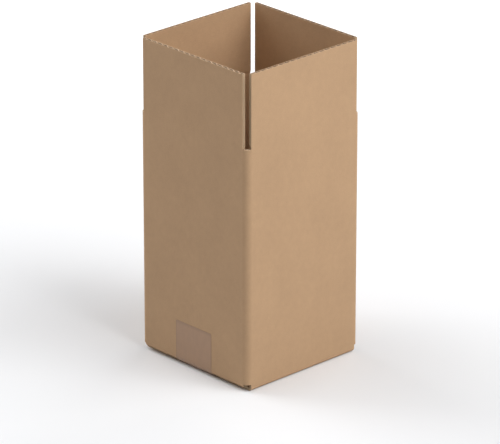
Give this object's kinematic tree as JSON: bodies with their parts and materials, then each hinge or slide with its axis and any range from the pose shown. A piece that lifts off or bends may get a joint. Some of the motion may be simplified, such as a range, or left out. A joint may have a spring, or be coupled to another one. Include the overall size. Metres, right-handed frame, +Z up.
{
  "type": "open cardboard box",
  "caption": "Tall square corrugated carton with a folded, taped bottom and hinged top flaps that stand open, for packing, shipping or storage.",
  "frame": {"origin": "on the floor, under the middle of the carton", "axes": "+Z up; +X towards the right face; -Y towards the front face, which carries one end of the tape"},
  "size_m": [0.1524, 0.1528, 0.329],
  "materials": {
    "board": "matte kraft liner",
    "tape": "satin brown packing tape"
  },
  "bodies": {
    "carton": {"carton": "board", "tape": "tape"},
    "front_flap": {"front_flap": "board"},
    "back_flap": {"back_flap": "board"},
    "left_flap": {"left_flap": "board"},
    "right_flap": {"right_flap": "board"}
  },
  "joints": [
    {"name": "front_flap_fold", "type": "hinge", "parent": "carton", "child": "front_flap", "pos_m": [0, -0.0762, 0.253], "axis": [1, 0, 0], "range_deg": [-90, 165]},
    {"name": "back_flap_fold", "type": "hinge", "parent": "carton", "child": "back_flap", "pos_m": [0, 0.0762, 0.253], "axis": [-1, 0, 0], "range_deg": [-90, 165]},
    {"name": "left_flap_fold", "type": "hinge", "parent": "carton", "child": "left_flap", "pos_m": [-0.0762, 0, 0.2562], "axis": [0, -1, 0], "range_deg": [-90, 165]},
    {"name": "right_flap_fold", "type": "hinge", "parent": "carton", "child": "right_flap", "pos_m": [0.0762, 0, 0.2562], "axis": [0, 1, 0], "range_deg": [-90, 165]}
  ]
}
